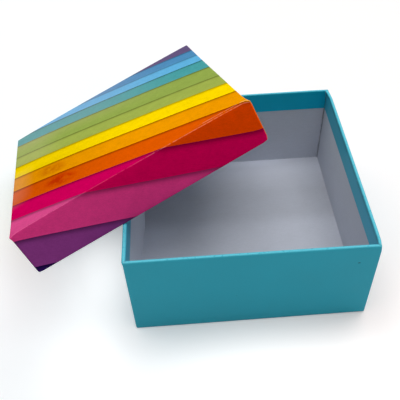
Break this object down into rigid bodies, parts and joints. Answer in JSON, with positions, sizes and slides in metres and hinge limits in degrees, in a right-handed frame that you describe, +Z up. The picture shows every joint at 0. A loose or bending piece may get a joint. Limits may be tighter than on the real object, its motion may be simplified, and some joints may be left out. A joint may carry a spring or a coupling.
{
  "type": "rigid gift box with lift-off lid",
  "caption": "Square rigid gift box: an open plain tray with a striped lift-off lid leaning on it.",
  "frame": {"origin": "middle of the tray's underside, on the surface it stands on", "axes": "+Z up; +X to the tray's right and +Y to its back, seen from the front, with the lid leaning over the back left corner"},
  "size_m": [0.2128, 0.184, 0.1098],
  "materials": {
    "lined_board": "white-lined greyboard, matt",
    "teal_paper": "coated art paper, soft satin",
    "striped_paper": "printed coated paper, soft gloss, diagonal stripes of many colours",
    "stay_tape": "brown gummed paper tape, matt"
  },
  "bodies": {
    "root": {"tray_board": "lined_board", "tray_wrap": "teal_paper", "lid_board": "lined_board", "lid_wrap": "striped_paper", "tray_stay_front_left": "stay_tape", "tray_stay_front_right": "stay_tape", "tray_stay_back_right": "stay_tape", "tray_stay_back_left": "stay_tape", "lid_stay_front_left": "stay_tape", "lid_stay_front_right": "stay_tape", "lid_stay_back_right": "stay_tape", "lid_stay_back_left": "stay_tape"}
  },
  "joints": []
}
